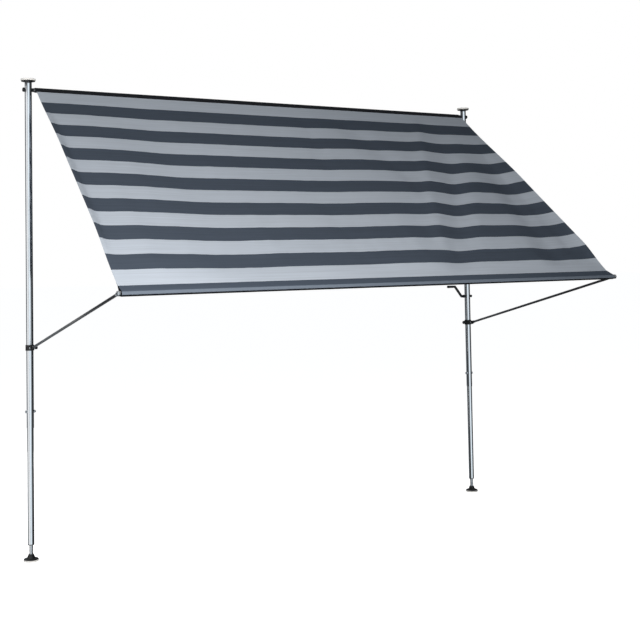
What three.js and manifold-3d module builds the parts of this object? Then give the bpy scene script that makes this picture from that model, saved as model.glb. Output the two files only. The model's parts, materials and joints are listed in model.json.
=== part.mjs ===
// Clamp awning: two telescopic posts jammed between floor and ceiling, a roller across
// their tops, two swinging arms with a front bar, and a striped cloth between them.
// Millimetres. Origin at the middle of the left foot's sole, +X to the right post,
// -Y outwards under the cloth, +Z up.
import * as THREE from 'three';
import { mergeVertices } from 'three/addons/utils/BufferGeometryUtils.js';
import Module from 'manifold-3d';

const wasm = await Module();
wasm.setup();

// Overall set-up
const POST_SPACING = 3000;
const TOTAL_HEIGHT = 2600;
const ROLLER_DROP = 60;
const PIVOT_Z = 1138;
const CRANK_Z = 1315;
const PIVOT_OFFSET = 40;
const ARM_LENGTH = 1353;
const ARM_RISE_DEG = 13.64;

// Clearances
const RUN_GAP = 0.3;
const SEAT_GAP = 0.1;

// Posts
const UPPER_OD = 38;
const UPPER_WALL = 1.5;
const UPPER_END_Z = 707;
const LOWER_OD = 34;
const LOWER_WALL = 1.5;
const LOWER_END_Z = 89;
const TUBE_OVERLAP = 250;
const BOLT_Z = 795;
const BOLT_DIA = 8;
const BOLT_HEAD_DIA = 17;
const BOLT_HEAD_H = 7;
const BOLT_TAIL = 4;

// End plates at the ceiling
const TOP_PAD_DIA = 80;
const TOP_PAD_H = 10;
const TOP_FLANGE_DIA = 75;
const TOP_FLANGE_H = 4;
const TOP_PLUG_DEPTH = 22;
const TOP_COLLAR_DIA = 46;
const TOP_COLLAR_H = 3;
const EDGE_ROUND = 2;

// Screw feet
const SPINDLE_DIA = 20;
const SPINDLE_TOP_Z = 250;
const SPINDLE_CHAMFER = 2;
const SOLE_DIA = 81;
const SOLE_H = 8;
const FOOT_DIA = 77;
const FOOT_FLANGE_H = 4;
const FOOT_CONE_DIA = 46;
const FOOT_NECK_DIA = 28;
const FOOT_TOP_Z = 36;
const FOOT_SOCKET_FLOOR_Z = 14;
const NUT_FLANGE_H = 4;
const NUT_DEPTH = 30;

// Arm clamps
const CLAMP_OD = 46;
const CLAMP_H = 30;
const CLAMP_BOSS_DIA = 18;
const CLAMP_BOSS_END = 27;
const CHEEK_W = 5;
const CHEEK_GAP = 11;
const CHEEK_H = 22;
const RIVET_DIA = 8;
const RIVET_HEAD_DIA = 14;
const RIVET_HEAD_H = 4;
const KNOB_SCREW_DIA = 8;
const KNOB_DIA = 22;
const KNOB_H = 13;
const KNOB_LOBES = 6;
const KNOB_NOTCH_DIA = 6;

// Arms
const ARM_DIA = 14;
const ARM_WALL = 1.5;
const ARM_TUBE_START = 26;
const ARM_TUBE_END = 30;
const TONGUE_W = 10;
const TONGUE_DIA = 17;
const SPIGOT_L = 34;
const EYE_W = 14;
const EYE_DIA = 25;

// Front bar
const BAR_DIA = 26;
const BAR_WALL = 1.5;
const BAR_INSET = 12.5;
const BAR_FLANGE_H = 3;
const BAR_PLUG_L = 30;
const BAR_PIN_DIA = 8.6;
const BAR_PIN_OUT = 13;
const CLIP_DIA = 15;
const CLIP_H = 3;

// Roller
const ROLLER_DIA = 22;
const ROLLER_WALL = 1.5;
const ROLLER_INSET = 27;
const ROLLER_FLANGE_H = 3;
const ROLLER_PLUG_L = 30;
const AXLE_DIA = 10;
const AXLE_END = 25;
const AXLE_KNOB_DIA = 24;
const AXLE_KNOB_H = 11;
const BUSH_DIA = 15;
const BUSH_FLANGE_DIA = 20;
const BUSH_FLANGE_END = 22;
const BUSH_INNER_END = 14;

// Crank and its pulleys
const CRANK_ROD_DIA = 10;
const CRANK_ARM_DIA = 17;
const CRANK_HUB_DIA = 20;
const CRANK_HUB_START = 22.4;
const CRANK_HUB_END = 39;
const CRANK_BEND = 50;
const CRANK_LEAN = 54;
const CRANK_THROW = 67;
const CRANK_GRIP_L = 54;
const CRANK_GRIP_DIA = 18;
const CRANK_GRIP_GAP = 10;
const CRANK_GRIP_WALL_END = 4;
const CRANK_CAP_DIA = 17;
const CRANK_CAP_H = 18;
const PULLEY_DIA = 28;
const PULLEY_W = 10;
const PULLEY_GROOVE = 4;

// Cloth
const CLOTH_T = 0.8;
const CLOTH_TURNS = 1.15;
const CLOTH_PITCH = 1.1;
const CLOTH_LEFT_TOP = 36;
const CLOTH_LEFT_LOW = 6;
const CLOTH_LEFT_BAR = 11;
const CLOTH_RIGHT_TOP = 42;
const CLOTH_RIGHT_LOW = 40;
const CLOTH_RIGHT_BAR = 15;
const STRIPE_FIRST = 35;
const STRIPE_W = 110.6;
const HEM_RETURN_DEG = 40;
const HEM_FLAT = 25;
const HEM_GAP = 0.4;
const SAG_DEPTH = 15;
const SAG_START = 300;
const SAG_FULL = 680;
const LEFT_CURL_HEIGHT = 16;
const LEFT_CURL_WIDTH = 35;
const RIGHT_CURL_HEIGHT = 22;
const RIGHT_CURL_WIDTH = 75;
const CURL_START = 120;
const CURL_FULL = 700;
const CURL_FADE = 1350;
const CURL_END = 1650;
const FOLD_DEPTH = 10;
const FOLD_WIDTH = 85;
const FOLD_TOP_X = 2460;
const FOLD_TOP = 750;
const FOLD_SLANT = 0.578;
const FOLD_EASE = 350;

// Facet counts
const ROUND = 24;
const SMALL = 12;
const HEX = 6;
const WIND_STEP_DEG = 30;
const INNER_COLUMNS = 22;
const EDGE_COLUMNS = 3;

const rad = THREE.MathUtils.degToRad;
const { clamp, lerp, smoothstep } = THREE.MathUtils;

// Materials
const paint = (color, roughness, metalness) =>
  new THREE.MeshStandardMaterial({ color, roughness, metalness });
const zinc = paint(0xc4c8cb, 0.28, 0.9);
const silver = paint(0xb9bcbe, 0.3, 0.9);
const blackPlastic = paint(0x17181a, 0.5, 0);
const paleRubber = paint(0xd4d5d3, 0.7, 0);
const armPaint = paint(0x2b2c2f, 0.42, 0.3);
const barPaint = paint(0x70757c, 0.4, 0.6);
const crankPaint = paint(0x151517, 0.4, 0.2);
const gripPlastic = paint(0x121314, 0.6, 0);
const whitePlastic = paint(0xe1e2df, 0.5, 0);
const clothPaint = new THREE.MeshStandardMaterial({ roughness: 0.85, metalness: 0, vertexColors: true });
const LIGHT_STRIPE = new THREE.Color(0xb4bac1);
const DARK_STRIPE = new THREE.Color(0x3c4148);

const part = new THREE.Group();
part.name = 'clamp_awning';

// Bare positions, one vertex per corner, wound so the faces look outwards
function outward(geometry) {
  geometry.deleteAttribute('normal');
  geometry.deleteAttribute('uv');
  const merged = mergeVertices(geometry, 1e-4);
  const position = merged.attributes.position;
  const index = merged.index.array;
  const a = new THREE.Vector3();
  const b = new THREE.Vector3();
  const c = new THREE.Vector3();
  let volume = 0;
  for (let i = 0; i < index.length; i += 3) {
    a.fromBufferAttribute(position, index[i]);
    b.fromBufferAttribute(position, index[i + 1]);
    c.fromBufferAttribute(position, index[i + 2]);
    volume += a.dot(b.cross(c));
  }
  if (volume < 0) {
    for (let i = 0; i < index.length; i += 3) {
      const swap = index[i + 1];
      index[i + 1] = index[i + 2];
      index[i + 2] = swap;
    }
  }
  return merged;
}

function solid(geometry) {
  const merged = outward(geometry);
  const mesh = new wasm.Mesh({
    numProp: 3,
    vertProperties: new Float32Array(merged.attributes.position.array),
    triVerts: new Uint32Array(merged.index.array),
  });
  mesh.merge();
  return new wasm.Manifold(mesh);
}

function shape(body) {
  const mesh = body.getMesh();
  const geometry = new THREE.BufferGeometry();
  geometry.setAttribute('position', new THREE.BufferAttribute(mesh.vertProperties, 3));
  geometry.setIndex(new THREE.BufferAttribute(mesh.triVerts, 1));
  return geometry;
}

function add(name, body, material) {
  const geometry = body.isBufferGeometry ? body : shape(body);
  geometry.computeVertexNormals();
  const mesh = new THREE.Mesh(geometry, material);
  mesh.name = name;
  part.add(mesh);
}

// Turned piece: profile of [radius, height] points from axis to axis, height along +Z
function turned(profile, facets = ROUND) {
  const points = profile.map(([r, h]) => new THREE.Vector2(r, h));
  return solid(new THREE.LatheGeometry(points, facets).rotateX(Math.PI / 2));
}

function rod(diameter, from, to, facets = SMALL) {
  const geometry = new THREE.CylinderGeometry(diameter / 2, diameter / 2, to - from, facets);
  geometry.rotateX(Math.PI / 2);
  return solid(geometry).translate([0, 0, (from + to) / 2]);
}

function pipe(outer, inner, from, to, facets = ROUND) {
  return rod(outer, from, to, facets).subtract(rod(inner, from - 1, to + 1, facets));
}

function block(x, y, z) {
  return solid(new THREE.BoxGeometry(x, y, z));
}

// Height along +Z becomes distance along +X or -X
const along = (body, direction) => body.rotate([0, 90 * direction, 0]);

const upperId = UPPER_OD - 2 * UPPER_WALL;
const lowerId = LOWER_OD - 2 * LOWER_WALL;
const rollerZ = TOTAL_HEIGHT - ROLLER_DROP;
const tubeTop = TOTAL_HEIGHT - TOP_PAD_H - TOP_FLANGE_H - TOP_COLLAR_H;
const postRadius = UPPER_OD / 2;

// A disc with rounded rims
function disc(diameter, height) {
  const r = diameter / 2;
  return turned([
    [0, 0],
    [r - EDGE_ROUND, 0],
    [r, EDGE_ROUND],
    [r, height - EDGE_ROUND],
    [r - EDGE_ROUND, height],
    [0, height],
  ]);
}

// Flanged bush in the inner wall of a post, shaped to the tube it sits in
function bush(bore) {
  const flange = rod(BUSH_FLANGE_DIA, postRadius - EDGE_ROUND, BUSH_FLANGE_END);
  const sleeve = rod(BUSH_DIA, BUSH_INNER_END, BUSH_FLANGE_END);
  const wall = along(rod(UPPER_OD + 2 * SEAT_GAP, -BUSH_FLANGE_DIA, BUSH_FLANGE_DIA, ROUND), 1);
  const passage = rod(BUSH_DIA, 0, BUSH_FLANGE_END * 2);
  const body = flange.add(sleeve).subtract(wall.subtract(passage));
  return body.subtract(rod(bore, 0, BUSH_FLANGE_END * 2));
}

// Grooved pulley that sits on an axle inside a post
function pulley(bore) {
  const r = PULLEY_DIA / 2;
  const half = PULLEY_W / 2;
  const wheel = turned([
    [0, -half],
    [r, -half],
    [r - PULLEY_GROOVE, 0],
    [r, half],
    [0, half],
  ], SMALL);
  return wheel.subtract(rod(bore, -PULLEY_W, PULLEY_W));
}

// Round cap with a blind hole that fits over the end of an axle
function axleCap(diameter, height, bore, depth) {
  const r = diameter / 2;
  const cap = turned([
    [0, 0],
    [r - EDGE_ROUND / 2, 0],
    [r, EDGE_ROUND / 2],
    [r, height - EDGE_ROUND],
    [r - EDGE_ROUND, height],
    [0, height],
  ], SMALL);
  return cap.subtract(rod(bore, -1, depth));
}

const sides = [
  { name: 'left', x: 0, inward: 1 },
  { name: 'right', x: POST_SPACING, inward: -1 },
];

const riseRad = rad(ARM_RISE_DEG);
const barY = -PIVOT_OFFSET - ARM_LENGTH * Math.cos(riseRad);
const barZ = PIVOT_Z + ARM_LENGTH * Math.sin(riseRad);

for (const { name, x, inward } of sides) {
  const hasCrank = inward < 0;
  const put = (body, z) => body.translate([x, 0, z]);
  const cross = (diameter, from, to) => along(rod(diameter, from, to), inward);

  // Telescopic post: outer tube above, inner tube below, pinned by a through bolt
  const reach = UPPER_OD;
  let upper = pipe(UPPER_OD, upperId, UPPER_END_Z, tubeTop);
  upper = upper.subtract(cross(BUSH_DIA + 2 * SEAT_GAP, 0, reach).translate([0, 0, rollerZ]));
  upper = upper.subtract(cross(AXLE_DIA + 2 * RUN_GAP, -reach, 0).translate([0, 0, rollerZ]));
  upper = upper.subtract(cross(BOLT_DIA + 2 * RUN_GAP, -reach, reach).translate([0, 0, BOLT_Z]));
  if (hasCrank) {
    upper = upper.subtract(cross(BUSH_DIA + 2 * SEAT_GAP, 0, reach).translate([0, 0, CRANK_Z]));
    upper = upper.subtract(cross(CRANK_ROD_DIA + 2 * RUN_GAP, -reach, 0).translate([0, 0, CRANK_Z]));
  }
  add(`${name}_upper_tube`, put(upper, 0), zinc);

  let lower = pipe(LOWER_OD, lowerId, LOWER_END_Z, UPPER_END_Z + TUBE_OVERLAP);
  lower = lower.subtract(cross(BOLT_DIA + 2 * RUN_GAP, -reach, reach).translate([0, 0, BOLT_Z]));
  add(`${name}_lower_tube`, put(lower, 0), zinc);

  const headFace = postRadius + SEAT_GAP;
  const tail = headFace + BOLT_HEAD_H + BOLT_TAIL;
  const bolt = along(
    rod(BOLT_HEAD_DIA, headFace, headFace + BOLT_HEAD_H, HEX).add(rod(BOLT_DIA, -tail, headFace + 1)),
    -inward,
  );
  add(`${name}_height_bolt`, put(bolt, BOLT_Z), silver);
  const nut = along(
    pipe(BOLT_HEAD_DIA, BOLT_DIA + 2 * SEAT_GAP, headFace, headFace + BOLT_HEAD_H, HEX)
      .subtract(rod(BOLT_DIA + 2 * SEAT_GAP, 0, tail + 1)),
    inward,
  );
  add(`${name}_height_nut`, put(nut, BOLT_Z), silver);

  // Ceiling plate: plug in the tube, flange, pale pad on top
  const plugR = upperId / 2 - SEAT_GAP;
  const flangeBase = tubeTop + TOP_COLLAR_H;
  const plate = turned([
    [0, tubeTop - TOP_PLUG_DEPTH],
    [plugR, tubeTop - TOP_PLUG_DEPTH],
    [plugR, tubeTop + SEAT_GAP],
    [TOP_COLLAR_DIA / 2, tubeTop + SEAT_GAP],
    [TOP_COLLAR_DIA / 2, flangeBase],
    [TOP_FLANGE_DIA / 2, flangeBase],
    [TOP_FLANGE_DIA / 2, flangeBase + TOP_FLANGE_H - SEAT_GAP],
    [0, flangeBase + TOP_FLANGE_H - SEAT_GAP],
  ]);
  add(`${name}_top_plate`, put(plate, 0), blackPlastic);
  add(`${name}_top_pad`, put(disc(TOP_PAD_DIA, TOP_PAD_H), TOTAL_HEIGHT - TOP_PAD_H), paleRubber);

  // Screw foot: nut in the end of the tube, spindle, cone foot, pale sole
  const nutR = lowerId / 2 - SEAT_GAP;
  const spindleNut = turned([
    [0, LOWER_END_Z - NUT_FLANGE_H],
    [LOWER_OD / 2, LOWER_END_Z - NUT_FLANGE_H],
    [LOWER_OD / 2, LOWER_END_Z - SEAT_GAP],
    [nutR, LOWER_END_Z - SEAT_GAP],
    [nutR, LOWER_END_Z + NUT_DEPTH],
    [0, LOWER_END_Z + NUT_DEPTH],
  ]).subtract(rod(SPINDLE_DIA + 2 * RUN_GAP, 0, SPINDLE_TOP_Z, ROUND));
  add(`${name}_spindle_nut`, put(spindleNut, 0), blackPlastic);

  const spindleR = SPINDLE_DIA / 2;
  const spindle = turned([
    [0, FOOT_SOCKET_FLOOR_Z + SEAT_GAP],
    [spindleR, FOOT_SOCKET_FLOOR_Z + SEAT_GAP],
    [spindleR, SPINDLE_TOP_Z - SPINDLE_CHAMFER],
    [spindleR - SPINDLE_CHAMFER, SPINDLE_TOP_Z],
    [0, SPINDLE_TOP_Z],
  ]);
  add(`${name}_spindle`, put(spindle, 0), silver);

  const footBase = SOLE_H + SEAT_GAP;
  const foot = turned([
    [0, footBase],
    [FOOT_DIA / 2, footBase],
    [FOOT_DIA / 2, SOLE_H + FOOT_FLANGE_H],
    [FOOT_CONE_DIA / 2, SOLE_H + FOOT_FLANGE_H + EDGE_ROUND],
    [FOOT_NECK_DIA / 2, FOOT_TOP_Z],
    [0, FOOT_TOP_Z],
  ]).subtract(rod(SPINDLE_DIA + 2 * SEAT_GAP, FOOT_SOCKET_FLOOR_Z, FOOT_TOP_Z + 1, ROUND));
  add(`${name}_foot`, put(foot, 0), blackPlastic);
  add(`${name}_foot_sole`, put(disc(SOLE_DIA, SOLE_H), 0), paleRubber);

  // Arm clamp: collar with a fork in front and a screw boss on the inner side
  const cheekOuter = CHEEK_GAP / 2 + CHEEK_W;
  const cheekL = PIVOT_OFFSET;
  const ear = block(2 * cheekOuter, cheekL, CHEEK_H).translate([0, -cheekL / 2, 0]);
  const earTip = along(rod(CHEEK_H, -cheekOuter, cheekOuter), 1).translate([0, -PIVOT_OFFSET, 0]);
  const slotL = PIVOT_OFFSET + CHEEK_H - CLAMP_OD / 2;
  const slotY = -CLAMP_OD / 2 - slotL / 2;
  const slot = block(CHEEK_GAP, slotL, 2 * CHEEK_H).translate([0, slotY, 0]);
  const boss = cross(CLAMP_BOSS_DIA, 0, CLAMP_BOSS_END);
  const collar = rod(CLAMP_OD, -CLAMP_H / 2, CLAMP_H / 2, ROUND)
    .add(ear)
    .add(earTip)
    .subtract(slot)
    .add(boss)
    .subtract(rod(UPPER_OD + 2 * SEAT_GAP, -CLAMP_H, CLAMP_H, ROUND))
    .subtract(cross(KNOB_SCREW_DIA + 2 * RUN_GAP, 0, CLAMP_BOSS_END + 1))
    .subtract(along(rod(RIVET_DIA + 2 * SEAT_GAP, -CLAMP_OD, CLAMP_OD), 1).translate([0, -PIVOT_OFFSET, 0]));
  add(`${name}_clamp`, put(collar, PIVOT_Z), blackPlastic);

  const rivetHalf = cheekOuter + SEAT_GAP;
  const rivet = rod(RIVET_DIA, -rivetHalf - 1, rivetHalf + 1)
    .add(rod(RIVET_HEAD_DIA, rivetHalf, rivetHalf + RIVET_HEAD_H))
    .add(rod(RIVET_HEAD_DIA, -rivetHalf - RIVET_HEAD_H, -rivetHalf));
  add(`${name}_arm_rivet`, along(rivet, 1).translate([x, -PIVOT_OFFSET, PIVOT_Z]), silver);

  const knobBase = CLAMP_BOSS_END + RUN_GAP;
  let knob = rod(KNOB_DIA, knobBase, knobBase + KNOB_H);
  for (let i = 0; i < KNOB_LOBES; i += 1) {
    const notch = rod(KNOB_NOTCH_DIA, 0, 2 * (knobBase + KNOB_H), HEX);
    knob = knob.subtract(notch.translate([KNOB_DIA / 2, 0, 0]).rotate([0, 0, (360 / KNOB_LOBES) * i]));
  }
  knob = knob.add(rod(KNOB_SCREW_DIA, postRadius + RUN_GAP, knobBase + 1));
  add(`${name}_clamp_knob`, put(along(knob, inward), PIVOT_Z), blackPlastic);

  // Swinging arm: knuckle in the fork, tube, eye round the bar's pin
  const swing = (body) => body.rotate([90 - ARM_RISE_DEG, 0, 0]).translate([x, -PIVOT_OFFSET, PIVOT_Z]);
  const spigotDia = ARM_DIA - 2 * ARM_WALL - 2 * SEAT_GAP;
  const tubeEnd = ARM_LENGTH - ARM_TUBE_END;
  add(`${name}_arm`, swing(pipe(ARM_DIA, ARM_DIA - 2 * ARM_WALL, ARM_TUBE_START, tubeEnd, SMALL)), armPaint);

  const tongueTip = along(rod(TONGUE_DIA, -TONGUE_W / 2, TONGUE_W / 2), 1);
  const tongueL = ARM_TUBE_START - SEAT_GAP;
  const tongue = block(TONGUE_W, TONGUE_DIA, tongueL).translate([0, 0, tongueL / 2]);
  const knuckle = tongueTip
    .add(tongue)
    .add(rod(spigotDia, tongueL - 1, ARM_TUBE_START + SPIGOT_L))
    .subtract(along(rod(RIVET_DIA + 2 * RUN_GAP, -TONGUE_W, TONGUE_W), 1));
  add(`${name}_arm_knuckle`, swing(knuckle), blackPlastic);

  const eyeRing = along(rod(EYE_DIA, -EYE_W / 2, EYE_W / 2), 1).translate([0, 0, ARM_LENGTH]);
  const neckTop = tubeEnd + SEAT_GAP;
  const neck = rod(ARM_DIA, neckTop, ARM_LENGTH);
  const eyeHole = along(rod(BAR_PIN_DIA + 2 * RUN_GAP, -EYE_W, EYE_W), 1).translate([0, 0, ARM_LENGTH]);
  const eye = eyeRing
    .add(neck)
    .add(rod(spigotDia, tubeEnd - SPIGOT_L, neckTop + 1))
    .subtract(eyeHole);
  add(`${name}_arm_eye`, swing(eye), silver);

  // End plug of the front bar with its pin, and the clip that keeps the eye on the pin
  const atBar = (body) => along(body, inward).translate([x, barY, barZ]);
  const barBore = BAR_DIA / 2 - BAR_WALL - SEAT_GAP;
  const flangeStart = BAR_INSET - BAR_FLANGE_H;
  const barPlug = turned([
    [0, -BAR_PIN_OUT],
    [BAR_PIN_DIA / 2, -BAR_PIN_OUT],
    [BAR_PIN_DIA / 2, flangeStart],
    [BAR_DIA / 2, flangeStart],
    [BAR_DIA / 2, BAR_INSET - SEAT_GAP],
    [barBore, BAR_INSET - SEAT_GAP],
    [barBore, BAR_INSET + BAR_PLUG_L],
    [0, BAR_INSET + BAR_PLUG_L],
  ], SMALL);
  add(`${name}_bar_plug`, atBar(barPlug), blackPlastic);
  const clipStart = -EYE_W / 2 - RUN_GAP - CLIP_H;
  const clip = pipe(CLIP_DIA, BAR_PIN_DIA + 2 * SEAT_GAP, clipStart, clipStart + CLIP_H, SMALL);
  add(`${name}_bar_clip`, atBar(clip), silver);

  // Roller end: plug in the tube with an axle through the post, bush, outer knob
  const atRoller = (body) => along(body, inward).translate([x, 0, rollerZ]);
  const rollerBore = ROLLER_DIA / 2 - ROLLER_WALL - SEAT_GAP;
  const rollerFlange = ROLLER_INSET - ROLLER_FLANGE_H;
  const rollerPlug = turned([
    [0, -AXLE_END],
    [AXLE_DIA / 2, -AXLE_END],
    [AXLE_DIA / 2, rollerFlange],
    [ROLLER_DIA / 2, rollerFlange],
    [ROLLER_DIA / 2, ROLLER_INSET - SEAT_GAP],
    [rollerBore, ROLLER_INSET - SEAT_GAP],
    [rollerBore, ROLLER_INSET + ROLLER_PLUG_L],
    [0, ROLLER_INSET + ROLLER_PLUG_L],
  ], SMALL);
  add(`${name}_roller_plug`, atRoller(rollerPlug), blackPlastic);
  add(`${name}_roller_bush`, atRoller(bush(AXLE_DIA + 2 * RUN_GAP)), blackPlastic);
  const capBase = postRadius + 2 * RUN_GAP;
  const capDepth = AXLE_END - capBase + SEAT_GAP;
  const axleKnob = axleCap(AXLE_KNOB_DIA, AXLE_KNOB_H, AXLE_DIA + 2 * SEAT_GAP, capDepth);
  const atOuter = along(axleKnob.translate([0, 0, capBase]), -inward);
  add(`${name}_axle_knob`, atOuter.translate([x, 0, rollerZ]), blackPlastic);
}

// Roller tube and front bar tube between the two posts
const rollerId = ROLLER_DIA - 2 * ROLLER_WALL;
const rollerTube = pipe(ROLLER_DIA, rollerId, ROLLER_INSET, POST_SPACING - ROLLER_INSET, SMALL);
add('roller_tube', along(rollerTube, 1).translate([0, 0, rollerZ]), armPaint);
const barTube = pipe(BAR_DIA, BAR_DIA - 2 * BAR_WALL, BAR_INSET, POST_SPACING - BAR_INSET, SMALL);
add('front_bar', along(barTube, 1).translate([0, barY, barZ]), barPaint);

// Crank on the right post: one bent rod through the post, with hub, grip, cap and pulley
const atCrank = (body) => body.translate([POST_SPACING, 0, CRANK_Z]);
const crankCorner = [
  [UPPER_OD / 2 + CRANK_CAP_H - EDGE_ROUND, 0],
  [-CRANK_BEND, 0],
  [-CRANK_BEND - CRANK_LEAN, CRANK_THROW],
  [-CRANK_BEND - CRANK_LEAN - CRANK_GRIP_GAP - CRANK_GRIP_L, CRANK_THROW],
].map(([cx, cz]) => new THREE.Vector3(cx, 0, cz));
crankCorner[3].x += CRANK_GRIP_WALL_END + RUN_GAP;
let crankRod = null;
for (let i = 0; i < crankCorner.length - 1; i += 1) {
  const from = crankCorner[i];
  const to = crankCorner[i + 1];
  const run = new THREE.Vector3().subVectors(to, from);
  const isArm = i === 1;
  const radius = (isArm ? CRANK_ARM_DIA : CRANK_ROD_DIA) / 2;
  const straight = new THREE.CylinderGeometry(radius, radius, run.length(), SMALL);
  const turn = new THREE.Quaternion().setFromUnitVectors(new THREE.Vector3(0, 1, 0), run.clone().normalize());
  straight.applyQuaternion(turn);
  straight.translate((from.x + to.x) / 2, 0, (from.z + to.z) / 2);
  crankRod = crankRod ? crankRod.add(solid(straight)) : solid(straight);
  if (i > 0) {
    const elbow = new THREE.SphereGeometry(CRANK_ARM_DIA / 2, SMALL, HEX);
    crankRod = crankRod.add(solid(elbow).translate([from.x, 0, from.z]));
  }
}
add('crank_rod', atCrank(crankRod), crankPaint);

const crankHub = pipe(CRANK_HUB_DIA, CRANK_ROD_DIA + 2 * SEAT_GAP, CRANK_HUB_START, CRANK_HUB_END, SMALL);
add('crank_hub', atCrank(along(crankHub, -1)), blackPlastic);
add('crank_bush', atCrank(along(bush(CRANK_ROD_DIA + 2 * RUN_GAP), -1)), blackPlastic);

const gripStart = CRANK_BEND + CRANK_LEAN + CRANK_GRIP_GAP;
const gripR = CRANK_GRIP_DIA / 2;
const gripEnd = gripStart + CRANK_GRIP_L;
const grip = turned([
  [0, gripStart],
  [gripR - EDGE_ROUND, gripStart],
  [gripR - EDGE_ROUND / 2, gripStart + EDGE_ROUND],
  [gripR - EDGE_ROUND / 2, gripStart + CRANK_GRIP_L / 2],
  [gripR, gripEnd - 3 * EDGE_ROUND],
  [gripR - EDGE_ROUND / 2, gripEnd - EDGE_ROUND],
  [gripR - 2 * EDGE_ROUND, gripEnd],
  [0, gripEnd],
], SMALL).subtract(rod(CRANK_ROD_DIA + 2 * RUN_GAP, gripStart - 1, gripEnd - CRANK_GRIP_WALL_END));
add('crank_grip', atCrank(along(grip, -1).translate([0, 0, CRANK_THROW])), gripPlastic);

const crankCapBase = postRadius + 2 * RUN_GAP;
const crankCapDepth = crankCorner[0].x - crankCapBase + SEAT_GAP;
const crankCap = axleCap(CRANK_CAP_DIA, CRANK_CAP_H, CRANK_ROD_DIA + 2 * SEAT_GAP, crankCapDepth);
add('crank_cap', atCrank(along(crankCap.translate([0, 0, crankCapBase]), 1)), blackPlastic);
add('crank_pulley', atCrank(along(pulley(CRANK_ROD_DIA + 2 * SEAT_GAP), 1)), whitePlastic);
const rollerPulley = along(pulley(AXLE_DIA + 2 * SEAT_GAP), 1).translate([POST_SPACING, 0, rollerZ]);
add('roller_pulley', rollerPulley, whitePlastic);

// Cloth: a ribbon seen from the side, wound on the roller, laid down the slope, looped
// round the bar as a hem pocket and turned back under itself
const rollerAxis = new THREE.Vector2(0, rollerZ);
const barAxis = new THREE.Vector2(barY, barZ);
const windStep = rad(WIND_STEP_DEG);
const facetGrowth = 1 / Math.cos(windStep / 2);
const woundR = (ROLLER_DIA / 2 + RUN_GAP + CLOTH_T / 2) * facetGrowth;
const leaveR = woundR + CLOTH_TURNS * CLOTH_PITCH;
const pocketR = (BAR_DIA / 2 + RUN_GAP + CLOTH_T / 2) * facetGrowth;
const span = new THREE.Vector2().subVectors(barAxis, rollerAxis);
const spanLength = span.length();
const spanDir = span.clone().normalize();
const spanUp = new THREE.Vector2(spanDir.y, -spanDir.x);
const tilt = Math.asin((leaveR - pocketR) / spanLength);
const up = spanUp.clone().multiplyScalar(Math.cos(tilt)).addScaledVector(spanDir, Math.sin(tilt));
const down = new THREE.Vector2(-up.y, up.x);
const slope = spanLength * Math.cos(tilt);

// Stations of the ribbon: centre point, side direction, distance down the slope
const stations = [];
const station = (centre, radius, angle, distance) => {
  const side = up.clone().multiplyScalar(Math.cos(angle)).addScaledVector(down, Math.sin(angle));
  stations.push({ point: centre.clone().addScaledVector(side, radius), side, distance });
};
const windAngle = CLOTH_TURNS * 2 * Math.PI;
const windSteps = Math.ceil(windAngle / windStep);
for (let i = 0; i < windSteps; i += 1) {
  const share = i / windSteps;
  const angle = (share - 1) * windAngle;
  station(rollerAxis, woundR + (leaveR - woundR) * share, angle, angle * leaveR);
}
const stripeCount = Math.floor((slope - STRIPE_FIRST) / STRIPE_W);
const slopeStops = [0];
for (let k = 0; k <= stripeCount; k += 1) slopeStops.push(STRIPE_FIRST + k * STRIPE_W);
const lastStripe = slopeStops[slopeStops.length - 1];
const top = rollerAxis.clone().addScaledVector(up, leaveR);
for (const distance of slopeStops) {
  stations.push({ point: top.clone().addScaledVector(down, distance), side: up, distance });
}
const returnAngle = Math.PI + rad(HEM_RETURN_DEG);
const loopSteps = Math.ceil(returnAngle / windStep);
for (let i = 0; i <= loopSteps; i += 1) {
  const angle = (returnAngle * i) / loopSteps;
  station(barAxis, pocketR, angle, slope + angle * pocketR);
}
const lastLoop = stations[stations.length - 1];
const backDir = new THREE.Vector2(-lastLoop.side.y, lastLoop.side.x);
const climb = pocketR * (1 + Math.cos(rad(HEM_RETURN_DEG))) - CLOTH_T - HEM_GAP;
const joinLength = climb / Math.sin(rad(HEM_RETURN_DEG));
const joinPoint = lastLoop.point.clone().addScaledVector(backDir, joinLength);
const joinSide = up.clone().negate();
const joinDistance = lastLoop.distance + joinLength;
stations.push({ point: joinPoint, side: joinSide, distance: joinDistance });
const hemEnd = joinPoint.clone().addScaledVector(down, -HEM_FLAT);
stations.push({ point: hemEnd, side: joinSide, distance: joinDistance + HEM_FLAT });

// Columns across the width, close together where the side edges turn up
const clothWidth = POST_SPACING - CLOTH_LEFT_TOP - CLOTH_RIGHT_TOP;
const innerStart = LEFT_CURL_WIDTH / clothWidth;
const innerEnd = 1 - RIGHT_CURL_WIDTH / clothWidth;
const shares = [];
for (let i = 0; i < EDGE_COLUMNS; i += 1) shares.push((innerStart * i) / EDGE_COLUMNS);
for (let i = 0; i < INNER_COLUMNS; i += 1) shares.push(lerp(innerStart, innerEnd, i / INNER_COLUMNS));
for (let i = 0; i <= EDGE_COLUMNS; i += 1) shares.push(lerp(innerEnd, 1, i / EDGE_COLUMNS));

// Distance of a side edge from its post: straight to the last stripe, then along the hem
function edgeInset(atTop, atLow, atBar, distance) {
  if (distance < lastStripe) return lerp(atTop, atLow, clamp(distance / lastStripe, 0, 1));
  return lerp(atLow, atBar, clamp((distance - lastStripe) / (slope - lastStripe), 0, 1));
}

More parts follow.
